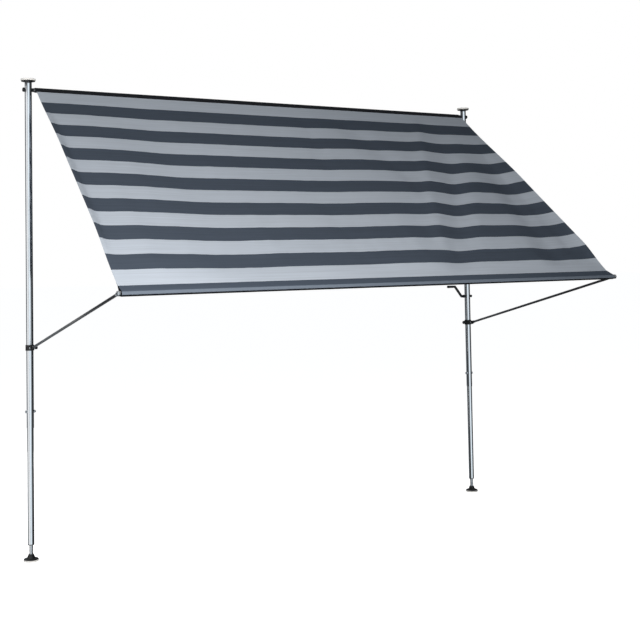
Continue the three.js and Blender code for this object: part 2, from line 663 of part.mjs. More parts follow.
// Height of the cloth over its flat plane: sag inside, raised edges, a slanting fold on the right
function lift(xAcross, fromLeft, fromRight, distance) {
  const bell = (offset, width) => Math.exp(-((offset / width) ** 2));
  const belly = Math.sin(Math.PI * clamp(distance / slope, 0, 1));
  const sag = SAG_DEPTH * smoothstep(fromLeft, SAG_START, SAG_FULL) * belly;
  const raise = smoothstep(distance, CURL_START, CURL_FULL) * (1 - smoothstep(distance, CURL_FADE, CURL_END));
  const leftCurl = LEFT_CURL_HEIGHT * bell(fromLeft, LEFT_CURL_WIDTH);
  const rightCurl = RIGHT_CURL_HEIGHT * bell(fromRight, RIGHT_CURL_WIDTH);
  const foldX = FOLD_TOP_X - FOLD_SLANT * (distance - FOLD_TOP);
  const foldStart = smoothstep(distance, FOLD_TOP - FOLD_EASE, FOLD_TOP);
  const foldEnd = smoothstep(slope - distance, 0, FOLD_EASE);
  const fold = FOLD_DEPTH * foldStart * foldEnd * bell(xAcross - foldX, FOLD_WIDTH);
  return raise * (leftCurl + rightCurl) - sag - fold;
}

const grid = [];
for (const share of shares) {
  const column = [];
  for (const { point, side, distance } of stations) {
    const left = edgeInset(CLOTH_LEFT_TOP, CLOTH_LEFT_LOW, CLOTH_LEFT_BAR, distance);
    const right = POST_SPACING - edgeInset(CLOTH_RIGHT_TOP, CLOTH_RIGHT_LOW, CLOTH_RIGHT_BAR, distance);
    const xAcross = lerp(left, right, share);
    const onSlope = distance > 0 && distance < slope;
    const raised = onSlope ? lift(xAcross, xAcross - left, right - xAcross, distance) : 0;
    const centre = point.clone().addScaledVector(up, raised);
    const outer = centre.clone().addScaledVector(side, CLOTH_T / 2);
    const inner = centre.clone().addScaledVector(side, -CLOTH_T / 2);
    column.push([
      new THREE.Vector3(xAcross, outer.x, outer.y),
      new THREE.Vector3(xAcross, inner.x, inner.y),
    ]);
  }
  grid.push(column);
}

// Closed skin of the ribbon, each face in the colour of its stripe
const corners = [];
const tints = [];
function face(a, b, c, d, tint) {
  for (const corner of [a, b, c, a, c, d]) {
    corners.push(corner.x, corner.y, corner.z);
    tints.push(tint.r, tint.g, tint.b);
  }
}
const lastColumn = grid.length - 1;
const lastStation = stations.length - 1;
for (let j = 0; j < lastStation; j += 1) {
  const middle = (stations[j].distance + stations[j + 1].distance) / 2;
  const stripe = Math.floor((middle - STRIPE_FIRST) / STRIPE_W);
  const isLight = stripe >= 0 && stripe < stripeCount && stripe % 2 === 0;
  const tint = isLight ? LIGHT_STRIPE : DARK_STRIPE;
  for (let i = 0; i < lastColumn; i += 1) {
    const here = grid[i];
    const next = grid[i + 1];
    face(here[j][0], here[j + 1][0], next[j + 1][0], next[j][0], tint);
    face(here[j][1], next[j][1], next[j + 1][1], here[j + 1][1], tint);
  }
  const first = grid[0];
  const last = grid[lastColumn];
  face(first[j][0], first[j][1], first[j + 1][1], first[j + 1][0], tint);
  face(last[j][0], last[j + 1][0], last[j + 1][1], last[j][1], tint);
}
for (let i = 0; i < lastColumn; i += 1) {
  const here = grid[i];
  const next = grid[i + 1];
  face(here[0][0], next[0][0], next[0][1], here[0][1], DARK_STRIPE);
  face(here[lastStation][0], here[lastStation][1], next[lastStation][1], next[lastStation][0], DARK_STRIPE);
}
const cloth = new THREE.BufferGeometry();
cloth.setAttribute('position', new THREE.Float32BufferAttribute(corners, 3));
cloth.setAttribute('color', new THREE.Float32BufferAttribute(tints, 3));
add('cloth', cloth, clothPaint);

export default part;
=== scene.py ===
"""Clamp awning with a striped cloth between two telescopic posts: looks, camera and light."""
import json
import math

import bmesh
import bpy
from mathutils import Matrix, Vector, noise


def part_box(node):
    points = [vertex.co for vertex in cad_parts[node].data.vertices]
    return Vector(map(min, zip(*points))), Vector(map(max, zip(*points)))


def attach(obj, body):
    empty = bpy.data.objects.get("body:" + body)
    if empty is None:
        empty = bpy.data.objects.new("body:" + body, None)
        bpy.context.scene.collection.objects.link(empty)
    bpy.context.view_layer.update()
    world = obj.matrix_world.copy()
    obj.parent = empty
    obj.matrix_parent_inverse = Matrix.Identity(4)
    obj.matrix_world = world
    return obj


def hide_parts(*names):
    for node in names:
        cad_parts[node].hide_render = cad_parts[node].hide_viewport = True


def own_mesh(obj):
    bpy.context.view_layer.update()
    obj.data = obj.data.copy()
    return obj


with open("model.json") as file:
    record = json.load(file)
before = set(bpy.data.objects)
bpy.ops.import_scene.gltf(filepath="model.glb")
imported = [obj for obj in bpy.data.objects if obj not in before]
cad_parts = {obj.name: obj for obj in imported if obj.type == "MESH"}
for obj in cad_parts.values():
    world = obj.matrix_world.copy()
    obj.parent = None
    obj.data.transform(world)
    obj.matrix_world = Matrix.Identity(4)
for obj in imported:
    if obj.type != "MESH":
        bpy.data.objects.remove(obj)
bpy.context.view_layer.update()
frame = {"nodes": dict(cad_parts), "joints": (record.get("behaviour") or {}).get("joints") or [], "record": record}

NODES = frame["nodes"]
RECORD = frame["record"]
SCENE = bpy.context.scene
MM = 0.001
SIDES = ("left", "right")
BODY_OF = {node: body for body, nodes in RECORD["behaviour"]["bodies"].items() for node in nodes}
SLOT_OF = {entry["node"]: entry["material_slot"] for entry in RECORD["subparts"]}


# Helpers

def linear(hex_colour):
    """A #rrggbb screen colour as linear RGBA."""
    channels = [int(hex_colour[i:i + 2], 16) / 255 for i in (1, 3, 5)]
    rgb = [c / 12.92 if c <= 0.04045 else ((c + 0.055) / 1.055) ** 2.4 for c in channels]
    return (*rgb, 1.0)


def per_metre(size_mm):
    """Texture scale of a pattern whose marks have this size."""
    return 1 / (size_mm * MM)


def add_node(tree, kind, settings=None, inputs=None):
    """A shader node with its settings; an input is a value or another node's output."""
    node = tree.nodes.new(kind)
    for key, value in (settings or {}).items():
        setattr(node, key, value)
    for key, value in (inputs or {}).items():
        if isinstance(value, bpy.types.NodeSocket):
            tree.links.new(value, node.inputs[key])
        else:
            node.inputs[key].default_value = value
    return node


def new_material(name):
    material = bpy.data.materials.new(name)
    material.use_nodes = True
    tree = material.node_tree
    tree.nodes.clear()
    out = tree.nodes.new("ShaderNodeOutputMaterial")
    return material, tree, out


def smoothstep(low, high, value):
    t = min(max((value - low) / (high - low), 0.0), 1.0)
    return t * t * (3 - 2 * t)


def bell(distance, width):
    return math.exp(-(distance / width) ** 2)


def finish_mesh(name, bm, material, sharp_deg=40):
    """The bmesh as an object at the origin, smooth but for its sharp edges."""
    bmesh.ops.recalc_face_normals(bm, faces=bm.faces)
    mesh = bpy.data.meshes.new(name)
    bm.to_mesh(mesh)
    bm.free()
    mesh.shade_smooth()
    mesh.set_sharp_from_angle(angle=math.radians(sharp_deg))
    obj = bpy.data.objects.new(name, mesh)
    SCENE.collection.objects.link(obj)
    obj.data.materials.append(material)
    return obj


def round_edges(bm, width, above_deg=42):
    """Every edge sharper than the angle gets a small round."""
    limit = math.radians(above_deg)
    edges = [e for e in bm.edges if e.is_manifold and e.calc_face_angle() > limit]
    bmesh.ops.bevel(bm, geom=edges, offset=width, affect="EDGES", segments=2, profile=0.5,
                    material=-1, clamp_overlap=True)


def middle(node):
    low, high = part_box(node)
    return (low + high) / 2


def half_width(node):
    low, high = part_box(node)
    return (high.x - low.x) / 2


def half_height(node):
    low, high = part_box(node)
    return (high.z - low.z) / 2


# Sizes read off the solids: the cloth runs from the roller's upper side down to the front bar

ROLLER = middle("roller_tube")
FRONT = middle("front_bar")
POST_SPAN = middle("right_upper_tube").x
SWING = [j for j in frame["joints"] if j["name"] == "arm_swing"][0]
PIVOT = Vector(SWING["pos_m"])
CLOTH_T = 0.6 * MM
LEAVE_R = half_height("roller_tube") + 2.2 * MM
POCKET_R = half_height("front_bar") + 0.9 * MM
SPAN = Vector((0, FRONT.y - ROLLER.y, FRONT.z - ROLLER.z))
ALONG = SPAN.normalized()
ACROSS_UP = Vector((0, ALONG.z, -ALONG.y))
TILT = math.asin((LEAVE_R - POCKET_R) / SPAN.length)
UP = ACROSS_UP * math.cos(TILT) + ALONG * math.sin(TILT)
DOWN = Vector((0, -UP.z, UP.y))
SLOPE = SPAN.length * math.cos(TILT)
TOP_EDGE = Vector((0, ROLLER.y, ROLLER.z)) + UP * LEAVE_R
HEM_BAND = 42 * MM
HEM_TOP = SLOPE - HEM_BAND


# Materials: sizes of their marks in millimetres

PLATING_CLOUD_MM = 111
MOULD_GRAIN_MM = 0.625
MOULD_CLOUD_MM = 22.2
DRAWN_ALONG_Z = (2.38, 2.38, 167)
TUMBLED = (3.33, 3.33, 3.33)


def plated_steel(name, colour, rough, spread, bump, mark_mm):
    """Plated steel: a mirror whose fine drawing marks blur and break the reflections a little.

    The real marks are finer than a tenth of a millimetre; they are drawn coarser to show."""
    material, tree, out = new_material(name)
    coords = add_node(tree, "ShaderNodeTexCoord")
    stretch = add_node(tree, "ShaderNodeMapping", inputs={
        "Vector": coords.outputs["Object"], "Scale": [per_metre(size) for size in mark_mm]})
    marks = add_node(tree, "ShaderNodeTexNoise", inputs={
        "Vector": stretch.outputs[0], "Scale": 1.0, "Detail": 4.0, "Roughness": 0.6})
    clouds = add_node(tree, "ShaderNodeTexNoise", inputs={
        "Vector": coords.outputs["Object"], "Scale": per_metre(PLATING_CLOUD_MM), "Detail": 3.0})
    gloss = add_node(tree, "ShaderNodeMapRange", inputs={
        "Value": marks.outputs["Fac"], "To Min": rough - spread, "To Max": rough + spread})
    tone = add_node(tree, "ShaderNodeMapRange", inputs={
        "Value": clouds.outputs["Fac"], "From Min": 0.3, "From Max": 0.7, "To Min": 0.93, "To Max": 1.0})
    tint = add_node(tree, "ShaderNodeMix", {"data_type": "RGBA", "blend_type": "MULTIPLY"}, {
        "Factor": 1.0, "A": linear(colour), "B": tone.outputs[0]})
    relief = add_node(tree, "ShaderNodeBump", inputs={
        "Height": marks.outputs["Fac"], "Strength": bump, "Distance": 0.1 * MM})
    shader = add_node(tree, "ShaderNodeBsdfPrincipled", inputs={
        "Base Color": tint.outputs["Result"], "Metallic": 1.0, "Roughness": gloss.outputs[0],
        "Normal": relief.outputs[0]})
    tree.links.new(shader.outputs[0], out.inputs[0])
    return material


def moulded(name, colour, rough, grain, coat=0.0):
    """Moulded plastic, rubber or powder paint: a fine grain and cloudy gloss soften its highlights."""
    material, tree, out = new_material(name)
    coords = add_node(tree, "ShaderNodeTexCoord")
    fine = add_node(tree, "ShaderNodeTexNoise", inputs={
        "Vector": coords.outputs["Object"], "Scale": per_metre(MOULD_GRAIN_MM), "Detail": 2.0})
    clouds = add_node(tree, "ShaderNodeTexNoise", inputs={
        "Vector": coords.outputs["Object"], "Scale": per_metre(MOULD_CLOUD_MM), "Detail": 4.0})
    gloss = add_node(tree, "ShaderNodeMapRange", inputs={
        "Value": clouds.outputs["Fac"], "From Min": 0.3, "From Max": 0.7,
        "To Min": rough - 0.06, "To Max": rough + 0.06})
    tone = add_node(tree, "ShaderNodeMapRange", inputs={
        "Value": clouds.outputs["Fac"], "From Min": 0.3, "From Max": 0.7, "To Min": 0.9, "To Max": 1.05})
    tint = add_node(tree, "ShaderNodeMix", {"data_type": "RGBA", "blend_type": "MULTIPLY"}, {
        "Factor": 1.0, "A": linear(colour), "B": tone.outputs[0]})
    relief = add_node(tree, "ShaderNodeBump", inputs={
        "Height": fine.outputs["Fac"], "Strength": grain, "Distance": 0.1 * MM})
    shader = add_node(tree, "ShaderNodeBsdfPrincipled", inputs={
        "Base Color": tint.outputs["Result"], "Roughness": gloss.outputs[0],
        "Normal": relief.outputs[0], "Coat Weight": coat, "Coat Roughness": 0.2})
    tree.links.new(shader.outputs[0], out.inputs[0])
    return material


# Cloth pattern, measured down the slope from where the cloth leaves the roller
STRIPE_FIRST = 39 * MM
STRIPE_W = 110.6 * MM
LAST_STRIPE = 15
TAPE_MIDDLE = SLOPE + 10.8 * MM
TAPE_HALF = 7.7 * MM
SLUB_MM = (111, 1.11, 1000)
SLUB_WANDER = 1.2 * MM
STREAK_MM = (625, 9.1, 1000)
THREAD_MM = 1.1


def awning_cloth():
    """Woven polyester in grey block stripes: matt, slightly see-through, with slubby cross threads.

    The real threads are about half a millimetre; weave and streaks are drawn coarser to show."""
    material, tree, out = new_material("striped_awning_cloth")
    place = add_node(tree, "ShaderNodeUVMap", {"uv_map": "cloth"})
    parts = add_node(tree, "ShaderNodeSeparateXYZ", inputs={"Vector": place.outputs[0]})
    across, down = parts.outputs["X"], parts.outputs["Y"]
    slub_at = add_node(tree, "ShaderNodeMapping", inputs={
        "Vector": place.outputs[0], "Scale": [per_metre(size) for size in SLUB_MM]})
    slub = add_node(tree, "ShaderNodeTexNoise", inputs={
        "Vector": slub_at.outputs[0], "Scale": 1.0, "Detail": 3.0, "Roughness": 0.65})
    wander = add_node(tree, "ShaderNodeMath", {"operation": "MULTIPLY_ADD"}, {
        0: slub.outputs["Fac"], 1: 2 * SLUB_WANDER, 2: -SLUB_WANDER})
    line = add_node(tree, "ShaderNodeMath", {"operation": "ADD"}, {0: down, 1: wander.outputs[0]})
    below = add_node(tree, "ShaderNodeMath", {"operation": "SUBTRACT"}, {
        0: line.outputs[0], 1: STRIPE_FIRST})
    stripes_down = add_node(tree, "ShaderNodeMath", {"operation": "DIVIDE"}, {
        0: below.outputs[0], 1: STRIPE_W})
    number = add_node(tree, "ShaderNodeMath", {"operation": "FLOOR"}, {0: stripes_down.outputs[0]})
    stripe = add_node(tree, "ShaderNodeMath", {"operation": "MINIMUM"}, {
        0: number.outputs[0], 1: LAST_STRIPE})
    odd = add_node(tree, "ShaderNodeMath", {"operation": "FLOORED_MODULO"}, {0: stripe.outputs[0], 1: 2.0})
    head = add_node(tree, "ShaderNodeMath", {"operation": "LESS_THAN"}, {
        0: line.outputs[0], 1: STRIPE_FIRST})
    binding = add_node(tree, "ShaderNodeMath", {"operation": "GREATER_THAN"}, {0: down, 1: TAPE_MIDDLE})
    tape = add_node(tree, "ShaderNodeMath", {"operation": "COMPARE"}, {
        0: down, 1: TAPE_MIDDLE, 2: TAPE_HALF})
    colour = linear("#b1bbc6")
    for where, hex_colour in ((odd, "#464f5b"), (head, "#1e2024"), (binding, "#15171b"), (tape, "#626c78")):
        band = add_node(tree, "ShaderNodeMix", {"data_type": "RGBA"}, {
            "Factor": where.outputs[0], "A": colour, "B": linear(hex_colour)})
        colour = band.outputs["Result"]
    streak_at = add_node(tree, "ShaderNodeMapping", inputs={
        "Vector": place.outputs[0], "Scale": [per_metre(size) for size in STREAK_MM]})
    streak = add_node(tree, "ShaderNodeTexNoise", inputs={
        "Vector": streak_at.outputs[0], "Scale": 1.0, "Detail": 5.0, "Roughness": 0.7})
    shade = add_node(tree, "ShaderNodeMapRange", inputs={
        "Value": streak.outputs["Fac"], "From Min": 0.3, "From Max": 0.7, "To Min": 0.91, "To Max": 1.09})
    tint = add_node(tree, "ShaderNodeMix", {"data_type": "RGBA", "blend_type": "MULTIPLY"}, {
        "Factor": 1.0, "A": colour, "B": shade.outputs[0]})
    turns = 2 * math.pi * per_metre(THREAD_MM)
    weft_turn = add_node(tree, "ShaderNodeMath", {"operation": "MULTIPLY"}, {0: down, 1: turns})
    weft = add_node(tree, "ShaderNodeMath", {"operation": "SINE"}, {0: weft_turn.outputs[0]})
    warp_turn = add_node(tree, "ShaderNodeMath", {"operation": "MULTIPLY"}, {0: across, 1: turns})
    warp = add_node(tree, "ShaderNodeMath", {"operation": "SINE"}, {0: warp_turn.outputs[0]})
    weave = add_node(tree, "ShaderNodeMath", {"operation": "MULTIPLY_ADD"}, {
        0: warp.outputs[0], 1: 0.5, 2: weft.outputs[0]})
    relief = add_node(tree, "ShaderNodeBump", inputs={
        "Height": weave.outputs[0], "Strength": 0.35, "Distance": 0.2 * MM})
    shader = add_node(tree, "ShaderNodeBsdfPrincipled", inputs={
        "Base Color": tint.outputs["Result"], "Roughness": 0.75, "Normal": relief.outputs[0],
        "Specular IOR Level": 0.08})
    glow = add_node(tree, "ShaderNodeBsdfTranslucent", inputs={"Color": tint.outputs["Result"]})
    both = add_node(tree, "ShaderNodeMixShader", inputs={
        "Fac": 0.14, 1: shader.outputs[0], 2: glow.outputs[0]})
    tree.links.new(both.outputs[0], out.inputs[0])
    return material


CLOTH = awning_cloth()
SLOT_LOOKS = {
    "zinc_tube": plated_steel("bright_zinc_tube", "#e6e9ec", 0.13, 0.03, 0.02, DRAWN_ALONG_Z),
    "bright_steel": plated_steel("bright_steel_fittings", "#d6d8da", 0.24, 0.06, 0.1, TUMBLED),
    "black_plastic": moulded("black_plastic", "#0d0e0f", 0.52, 0.15),
    "pale_rubber": moulded("pale_rubber", "#d6d7d5", 0.7, 0.25),
    "arm_paint": moulded("dark_grey_arm_paint", "#26272a", 0.33, 0.06, 0.3),
    "bar_paint": moulded("grey_bar_paint", "#6d7279", 0.4, 0.06, 0.2),
    "crank_paint": moulded("black_crank_paint", "#111113", 0.36, 0.05, 0.2),
    "grip_plastic": moulded("black_grip_plastic", "#111213", 0.55, 0.3),
    "white_plastic": moulded("white_bearing_plastic", "#e0e1de", 0.45, 0.08),
    "awning_cloth": CLOTH,
}
for node, slot in SLOT_OF.items():
    NODES[node].data.materials.clear()
    NODES[node].data.materials.append(SLOT_LOOKS[slot])


# Rigid pieces

def stands_for(node, ending, bm):
    """The finished mesh moves with the solid's body, takes its finish and hides it."""
    obj = finish_mesh(node + ending, bm, SLOT_LOOKS[SLOT_OF[node]])
    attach(obj, BODY_OF[node])
    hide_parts(node)


def turned_mesh(profile, at, axis, segments):
    """A side view of (radius, height) points spun round an axis."""
    bm = bmesh.new()
    points = [bm.verts.new((radius, 0, height)) for radius, height in profile]
    for first, second in zip(points, points[1:] + points[:1]):
        bm.edges.new((first, second))
    bmesh.ops.spin(bm, geom=bm.verts[:] + bm.edges[:], cent=(0, 0, 0), axis=(0, 0, 1),
                   angle=2 * math.pi, steps=segments, use_merge=True)
    bmesh.ops.remove_doubles(bm, verts=bm.verts, dist=1e-6)
    loose = [e for e in bm.edges if not e.link_faces]
    bmesh.ops.delete(bm, geom=loose, context="EDGES")
    bmesh.ops.recalc_face_normals(bm, faces=bm.faces)
    turn = Vector((0, 0, 1)).rotation_difference(Vector(axis)).to_matrix().to_4x4()
    bmesh.ops.transform(bm, matrix=Matrix.Translation(at) @ turn, verts=bm.verts)
    return bm


TUBE_WALL = 1.5 * MM
TUBE_EDGE = 0.4 * MM
ROUND_STEPS = 64


def tube(node, start, end, outer_r, segments=ROUND_STEPS):
    """A drawn tube with its two ends slightly rounded."""
    run = Vector(end) - Vector(start)
    inner_r = outer_r - TUBE_WALL
    profile = [(outer_r, 0), (outer_r, run.length), (inner_r, run.length), (inner_r, 0)]
    bm = turned_mesh(profile, start, run.normalized(), segments)
    round_edges(bm, TUBE_EDGE)
    stands_for(node, "_drawn", bm)


DISC_CHAMFER = 1.5 * MM
DISC_SHOULDER = 2 * MM
GROOVE_DEPTH = 1.2 * MM
GROOVE_SLANT = 0.03
DISC_EDGE = 0.8 * MM


def rubber_disc(node, groove, faces_up):
    """A chamfered disc with a ring groove, at these shares of its radius, in its bearing face."""
    low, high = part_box(node)
    radius, height = half_width(node), high.z - low.z
    outer, inner = groove
    profile = [
        (0, 0), (radius - DISC_CHAMFER, 0), (radius, DISC_SHOULDER), (radius, height - DISC_SHOULDER),
        (radius - DISC_CHAMFER, height), (radius * outer, height),
        (radius * (outer - GROOVE_SLANT), height - GROOVE_DEPTH),
        (radius * (inner + GROOVE_SLANT), height - GROOVE_DEPTH), (radius * inner, height), (0, height)]
    if not faces_up:
        profile = [(r, height - h) for r, h in reversed(profile)]
    at = middle(node)
    bm = turned_mesh(profile, (at.x, at.y, low.z), (0, 0, 1), ROUND_STEPS)
    round_edges(bm, DISC_EDGE, above_deg=25)
    stands_for(node, "_turned", bm)


def softened(node, width):
    """A solid's copy with merged corners, whole flat faces and rounded sharp edges."""
    bm = bmesh.new()
    bm.from_mesh(NODES[node].data)
    bmesh.ops.transform(bm, matrix=NODES[node].matrix_world, verts=bm.verts)
    bmesh.ops.remove_doubles(bm, verts=bm.verts, dist=1e-5)
    bmesh.ops.dissolve_limit(bm, angle_limit=math.radians(1.5), verts=bm.verts, edges=bm.edges)
    round_edges(bm, width)
    stands_for(node, "_moulded", bm)


THREAD_PITCH = 4.0 * MM
THREAD_DEPTH = 1.6 * MM
THREAD_STEPS = 24


def spindle(node):
    """Threaded foot spindle: one pitch of the thread wound up its length and cut off at both ends."""
    low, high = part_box(node)
    at = middle(node)
    major = half_width(node)
    minor = major - THREAD_DEPTH
    turns = math.ceil((high.z - low.z) / THREAD_PITCH) + 2
    bm = bmesh.new()
    side_view = [(minor, 0.0), (minor, 0.3), (major, 0.45), (major, 0.8), (minor, 1.0)]
    points = [bm.verts.new((r, 0, share * THREAD_PITCH)) for r, share in side_view]
    for first, second in zip(points, points[1:]):
        bm.edges.new((first, second))
    bmesh.ops.spin(bm, geom=bm.verts[:] + bm.edges[:], cent=(0, 0, 0), axis=(0, 0, 1),
                   dvec=(0, 0, THREAD_PITCH / THREAD_STEPS), angle=2 * math.pi * turns,
                   steps=turns * THREAD_STEPS)
    bmesh.ops.remove_doubles(bm, verts=bm.verts, dist=1e-6)
    bmesh.ops.translate(bm, verts=bm.verts, vec=(at.x, at.y, low.z - THREAD_PITCH))
    for height, normal in ((low.z, (0, 0, -1)), (high.z, (0, 0, 1))):
        bmesh.ops.bisect_plane(bm, geom=bm.verts[:] + bm.edges[:] + bm.faces[:], dist=1e-7,
                               plane_co=(0, 0, height), plane_no=normal, clear_outer=True)
    bmesh.ops.holes_fill(bm, edges=[e for e in bm.edges if e.is_boundary], sides=0)
    stands_for(node, "_threaded", bm)


ARM_R = 7.0 * MM
ARM_START = 26 * MM
ARM_END = 30 * MM
ARM_STEPS = 32
PAD_GROOVE = (0.86, 0.71)
SOLE_GROOVE = (0.77, 0.60)
SIDE_ROUNDS_MM = {
    "top_plate": 0.8, "spindle_nut": 0.8, "foot": 1.0, "clamp": 1.2, "clamp_knob": 0.8, "arm_rivet": 0.8,
    "arm_knuckle": 1.0, "arm_eye": 1.0, "bar_plug": 0.7, "bar_clip": 0.5, "roller_plug": 0.7,
    "roller_bush": 0.6, "axle_knob": 0.8, "height_bolt": 0.8, "height_nut": 0.8,
}
CRANK_ROUNDS_MM = {
    "crank_rod": 0.4, "crank_hub": 1.0, "crank_bush": 0.6, "crank_grip": 1.2, "crank_cap": 1.0,
    "crank_pulley": 0.5, "roller_pulley": 0.5,
}

for side in SIDES:
    post = middle(side + "_upper_tube")
    for node in (side + "_upper_tube", side + "_lower_tube"):
        low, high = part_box(node)
        tube(node, (post.x, post.y, low.z), (post.x, post.y, high.z), half_width(node))
    rubber_disc(side + "_top_pad", PAD_GROOVE, faces_up=True)
    rubber_disc(side + "_foot_sole", SOLE_GROOVE, faces_up=False)
    spindle(side + "_spindle")
    arm_from = Vector((post.x, PIVOT.y, PIVOT.z))
    arm_to = Vector((post.x, FRONT.y, FRONT.z))
    run = (arm_to - arm_from).normalized()
    tube(side + "_arm", arm_from + run * ARM_START, arm_to - run * ARM_END, ARM_R, segments=ARM_STEPS)
    for piece, width in SIDE_ROUNDS_MM.items():
        softened(f"{side}_{piece}", width * MM)

for node in ("roller_tube", "front_bar"):
    low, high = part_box(node)
    centre = middle(node)
    tube(node, (low.x, centre.y, centre.z), (high.x, centre.y, centre.z), half_height(node))
for node, width in CRANK_ROUNDS_MM.items():
    softened(node, width * MM)


# Cloth: x runs across from the left post's axis, v runs down the slope from the roller

# Gap from each post's axis to the cloth, in metres: at the roller, at the hem's top and on the bar
LEFT_EDGE = (0.036, 0.0035, 0.0105)
RIGHT_EDGE = (0.042, 0.038, 0.0135)
HEM_FOLD = SLOPE + POCKET_R * math.pi / 2

# Soft folds: height in mm, place across at mid slope, lean, half width, start and end down the slope.
# The first six follow the bend of the stripe edges, the last six come from a least squares fit.
FOLDS = (
    (-9.0, 2.45, -0.578, 0.075, 0.58, 2.0), (4.0, 2.60, -0.578, 0.07, 0.65, 2.0),
    (-8.0, 2.79, -0.15, 0.075, 0.63, 2.0), (-5.0, 2.105, 0.3, 0.09, -0.3, 0.85),
    (-4.0, 1.585, -0.1, 0.07, -0.3, 0.7), (4.0, 1.94, -0.25, 0.1, 1.0, 2.0),
    (-6.2, 2.436, -0.421, 0.085, 0.19, 1.64), (7.4, 2.248, -0.449, 0.053, -0.3, 1.43),
    (4.9, 1.676, -0.118, 0.133, 0.92, 2.0), (4.2, 2.575, -0.08, 0.149, 0.78, 2.0),
    (-5.3, 0.551, 0.123, 0.196, 1.27, 2.0), (3.2, 0.212, 0.015, 0.075, -0.3, 1.79),
)
FOLD_MIDDLE = 0.75
FOLD_FADE = 0.2
SAG_MM = 15.5
LEFT_SAG_MM = 3.2
LEFT_CURL_MM = 19.0
LEFT_CURL_W = 0.028
RIGHT_CURL_MM = 25.0
RIGHT_CURL_W = 0.125
RIGHT_CURL_BEND = 1.3
# Stretches over which a form sets in or fades, in metres across for the sags and down for the rest
SAG_SETS_IN = (0.33, 0.68)
SAG_EASES = (1.45, 1.95)
SAG_EASED_BY = 0.5
LEFT_SAG_SETS_IN = (0.05, 0.4)
LEFT_SAG_FADES = (1.4, 2.0)
LEFT_CURL_SETS_IN = (0.1, 0.6)
LEFT_CURL_FADES = (1.25, 1.62)
RIGHT_CURL_SETS_IN = (0.15, 0.8)
RIGHT_CURL_FADES = (1.44, 1.7)
CALM_BELOW_ROLLER = (0.03, 0.3)
CALM_ABOVE_HEM = (0.0, 0.16)
# Small ripples: height in mm, waves per metre across and down, and a depth that sets them apart
RIPPLES = ((1.8, 7.0, 1.3, 0.0), (1.1, 17.0, 2.1, 4.0))


def cloth_lift(x, v, from_left, from_right):
    """Height of the cloth over its flat plane, in metres: sag, slanting folds, raised edges."""
    belly = math.sin(math.pi * min(max(v / HEM_TOP, 0.0), 1.0))
    lift = -SAG_MM * smoothstep(*SAG_SETS_IN, x) * (1 - SAG_EASED_BY * smoothstep(*SAG_EASES, x)) * belly
    lift -= LEFT_SAG_MM * smoothstep(*LEFT_SAG_SETS_IN, x) * (1 - smoothstep(*LEFT_SAG_FADES, x)) * belly
    inner = 0.0
    for height, place, lean, width, start, end in FOLDS:
        share = smoothstep(start - FOLD_FADE, start + FOLD_FADE, v)
        share *= 1 - smoothstep(end - FOLD_FADE, end + FOLD_FADE, v)
        inner += height * share * bell(x - place - lean * (v - FOLD_MIDDLE), width)
    for height, across, down, depth in RIPPLES:
        inner += height * noise.noise(Vector((x * across, v * down, depth)))
    lift += inner * smoothstep(*CALM_BELOW_ROLLER, v) * smoothstep(*CALM_ABOVE_HEM, HEM_TOP - v)
    left_share = smoothstep(*LEFT_CURL_SETS_IN, v) * (1 - smoothstep(*LEFT_CURL_FADES, v))
    lift += LEFT_CURL_MM * bell(from_left, LEFT_CURL_W) * left_share
    right_share = smoothstep(*RIGHT_CURL_SETS_IN, v) * (1 - smoothstep(*RIGHT_CURL_FADES, v))
    rise = max(0.0, 1 - from_right / RIGHT_CURL_W) ** RIGHT_CURL_BEND
    lift += RIGHT_CURL_MM * rise * right_share
    return lift * MM


def edge_inset(insets, v):
    """Gap of a side edge from its post: straight down the slope, then along the folded hem."""
    at_top, at_low, at_bar = insets
    v = min(v, 2 * HEM_FOLD - v)
    if v < HEM_TOP:
        return at_top + (at_low - at_top) * max(v, 0.0) / HEM_TOP
    return at_low + (at_bar - at_low) * min((v - HEM_TOP) / HEM_BAND, 1.0)


def ribbon(name, path, start, end, columns, rows, lifted=False):
    """A strip of the cloth: a grid laid along a side view path, given a thickness."""
    bm = bmesh.new()
    bmesh.ops.create_grid(bm, x_segments=columns, y_segments=rows, size=0.5)
    layer = bm.loops.layers.uv.new("cloth")
    flat = {}
    for vert in bm.verts:
        share = vert.co.x + 0.5
        v = start + (vert.co.y + 0.5) * (end - start)
        left = edge_inset(LEFT_EDGE, v)
        right = POST_SPAN - edge_inset(RIGHT_EDGE, v)
        x = left + (right - left) * share
        point = path(v)
        if lifted:
            point = point + UP * cloth_lift(x, v, x - left, right - x)
        flat[vert] = (x, v)
        vert.co = Vector((x, point.y, point.z))
    for face in bm.faces:
        for loop in face.loops:
            loop[layer].uv = flat[loop.vert]
    bmesh.ops.recalc_face_normals(bm, faces=bm.faces)
    bmesh.ops.solidify(bm, geom=bm.faces[:], thickness=CLOTH_T)
    return finish_mesh(name, bm, CLOTH, 60)


def on_slope(v):
    return TOP_EDGE + DOWN * v


TURNS = 1.4
TURN_PITCH = 0.9 * MM


def on_roller(v):
    """Wound turns: v runs from a negative length up to 0 where the cloth leaves the roller."""
    angle = v / LEAVE_R
    radius = LEAVE_R + TURN_PITCH * angle / (2 * math.pi)
    side = UP * math.cos(angle) + DOWN * math.sin(angle)
    return Vector((0, ROLLER.y, ROLLER.z)) + side * radius


HEM_RETURN = math.radians(40)
HEM_LOOP = POCKET_R * (math.pi + HEM_RETURN)
HEM_TAIL = 66 * MM
HEM_GAP = 2.5 * CLOTH_T


